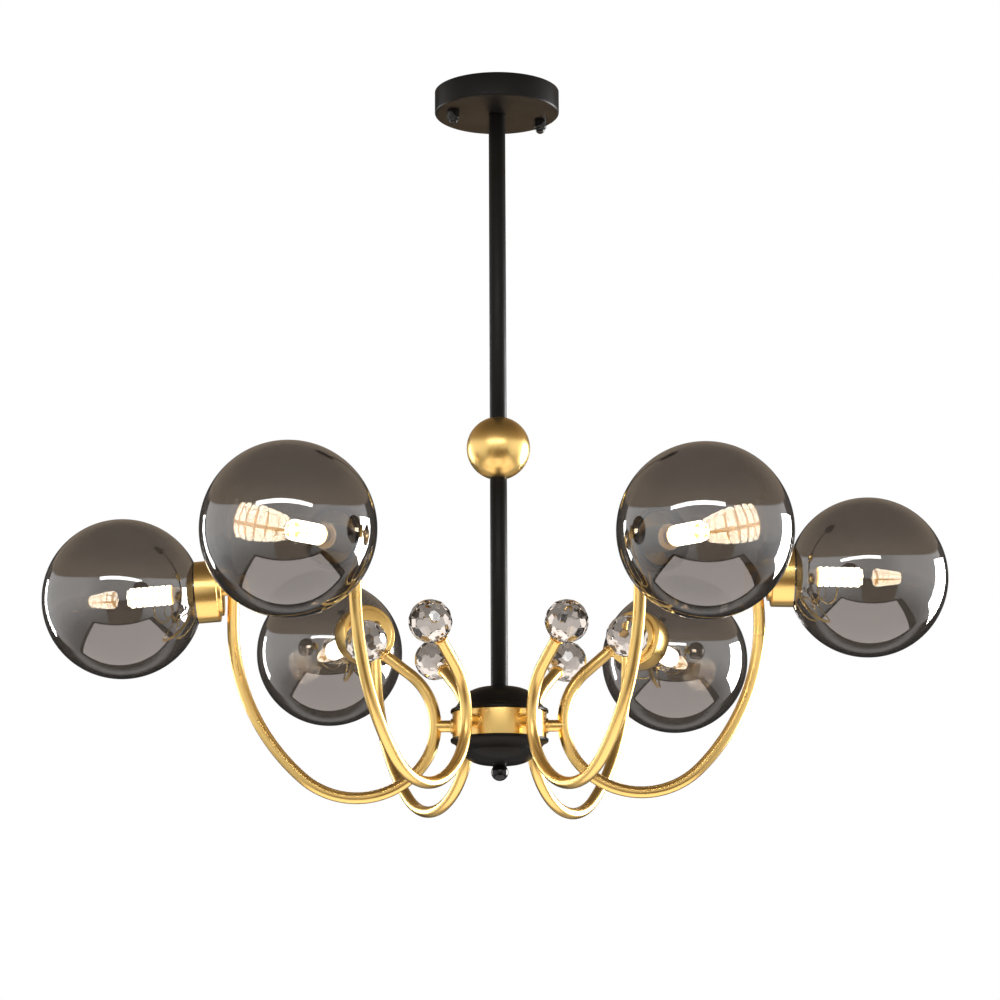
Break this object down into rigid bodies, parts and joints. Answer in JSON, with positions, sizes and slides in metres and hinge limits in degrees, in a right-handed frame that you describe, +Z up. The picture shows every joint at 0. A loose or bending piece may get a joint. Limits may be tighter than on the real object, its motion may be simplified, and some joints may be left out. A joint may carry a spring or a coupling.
{
  "type": "branch chandelier",
  "caption": "Ceiling chandelier on a rigid stem: hooked gold tubes from a black and gold hub carry smoked glass globes outside and faceted crystals inside.",
  "frame": {"origin": "middle of the crossbar's top face, where it lies on the ceiling, on the stem's axis", "axes": "+Z up out of the ceiling face, +X towards the right-hand branch as pictured, +Y away from the viewer"},
  "size_m": [0.8483, 0.7646, 0.6924],
  "materials": {
    "black_paint": "satin",
    "satin_gold": "satin",
    "zinc_steel": "satin",
    "white_plastic": "matte",
    "white_ceramic": "matte",
    "smoked_glass": "gloss",
    "clear_crystal": "gloss",
    "lit_bulb": "gloss"
  },
  "bodies": {
    "fixture": {"crossbar": "zinc_steel", "crossbar_screws": "zinc_steel", "canopy_cup": "black_paint", "canopy_pipe": "zinc_steel", "canopy_lock_nut": "zinc_steel", "terminal_block": "white_plastic", "stem_upper": "black_paint", "stem_ball": "satin_gold", "stem_coupler": "zinc_steel", "stem_lower": "black_paint", "hub_top_cap": "black_paint", "hub_band": "satin_gold", "hub_bottom_bowl": "black_paint", "hub_tie_pipe": "zinc_steel", "hub_nuts": "zinc_steel", "branch_tube_1": "satin_gold", "crystal_1": "clear_crystal", "holder_drum_1": "satin_gold", "lampholder_1": "white_ceramic", "branch_tube_2": "satin_gold", "crystal_2": "clear_crystal", "holder_drum_2": "satin_gold", "lampholder_2": "white_ceramic", "branch_tube_3": "satin_gold", "crystal_3": "clear_crystal", "holder_drum_3": "satin_gold", "lampholder_3": "white_ceramic", "branch_tube_4": "satin_gold", "crystal_4": "clear_crystal", "holder_drum_4": "satin_gold", "lampholder_4": "white_ceramic", "branch_tube_5": "satin_gold", "crystal_5": "clear_crystal", "holder_drum_5": "satin_gold", "lampholder_5": "white_ceramic", "branch_tube_6": "satin_gold", "crystal_6": "clear_crystal", "holder_drum_6": "satin_gold", "lampholder_6": "white_ceramic", "hub_studs": "satin_gold", "crystal_collars": "satin_gold", "holder_nipples": "satin_gold", "stud_nuts": "zinc_steel", "holder_nuts": "zinc_steel"},
    "globe_1": {"globe_1": "smoked_glass"},
    "globe_2": {"globe_2": "smoked_glass"},
    "globe_3": {"globe_3": "smoked_glass"},
    "globe_4": {"globe_4": "smoked_glass"},
    "globe_5": {"globe_5": "smoked_glass"},
    "globe_6": {"globe_6": "smoked_glass"},
    "bulb_1": {"bulb_1": "lit_bulb"},
    "bulb_2": {"bulb_2": "lit_bulb"},
    "bulb_3": {"bulb_3": "lit_bulb"},
    "bulb_4": {"bulb_4": "lit_bulb"},
    "bulb_5": {"bulb_5": "lit_bulb"},
    "bulb_6": {"bulb_6": "lit_bulb"},
    "cap_nut_left": {"cap_nut_left": "black_paint"},
    "cap_nut_right": {"cap_nut_right": "black_paint"},
    "bottom_finial": {"bottom_finial": "black_paint"}
  },
  "joints": [
    {"name": "globe_1_off", "type": "slide", "parent": "fixture", "child": "globe_1", "axis": [0.9997, 0, -0.0227], "range_m": [0, 0.09]},
    {"name": "globe_2_off", "type": "slide", "parent": "fixture", "child": "globe_2", "axis": [0.4959, 0.859, -0.1271], "range_m": [0, 0.09]},
    {"name": "globe_3_off", "type": "slide", "parent": "fixture", "child": "globe_3", "axis": [-0.4976, 0.8619, -0.0976], "range_m": [0, 0.09]},
    {"name": "globe_4_off", "type": "slide", "parent": "fixture", "child": "globe_4", "axis": [-0.9968, 0, -0.0802], "range_m": [0, 0.09]},
    {"name": "globe_5_off", "type": "slide", "parent": "fixture", "child": "globe_5", "axis": [-0.4992, -0.8647, -0.0558], "range_m": [0, 0.09]},
    {"name": "globe_6_off", "type": "slide", "parent": "fixture", "child": "globe_6", "axis": [0.4988, -0.864, -0.068], "range_m": [0, 0.09]},
    {"name": "bulb_1_out", "type": "slide", "parent": "fixture", "child": "bulb_1", "axis": [0.9997, 0, -0.0227], "range_m": [0, 0.012]},
    {"name": "bulb_2_out", "type": "slide", "parent": "fixture", "child": "bulb_2", "axis": [0.4959, 0.859, -0.1271], "range_m": [0, 0.012]},
    {"name": "bulb_3_out", "type": "slide", "parent": "fixture", "child": "bulb_3", "axis": [-0.4976, 0.8619, -0.0976], "range_m": [0, 0.012]},
    {"name": "bulb_4_out", "type": "slide", "parent": "fixture", "child": "bulb_4", "axis": [-0.9968, 0, -0.0802], "range_m": [0, 0.012]},
    {"name": "bulb_5_out", "type": "slide", "parent": "fixture", "child": "bulb_5", "axis": [-0.4992, -0.8647, -0.0558], "range_m": [0, 0.012]},
    {"name": "bulb_6_out", "type": "slide", "parent": "fixture", "child": "bulb_6", "axis": [0.4988, -0.864, -0.068], "range_m": [0, 0.012]},
    {"name": "cap_nut_left_turn", "type": "hinge", "parent": "fixture", "child": "cap_nut_left", "pos_m": [-0.04182, -0.01522, -0.023], "axis": [0, 0, 1], "continuous": true},
    {"name": "cap_nut_right_turn", "type": "hinge", "parent": "fixture", "child": "cap_nut_right", "pos_m": [0.04182, 0.01522, -0.023], "axis": [0, 0, 1], "continuous": true},
    {"name": "bottom_finial_turn", "type": "hinge", "parent": "fixture", "child": "bottom_finial", "pos_m": [0, 0, -0.65323], "axis": [0, 0, 1], "continuous": true}
  ]
}
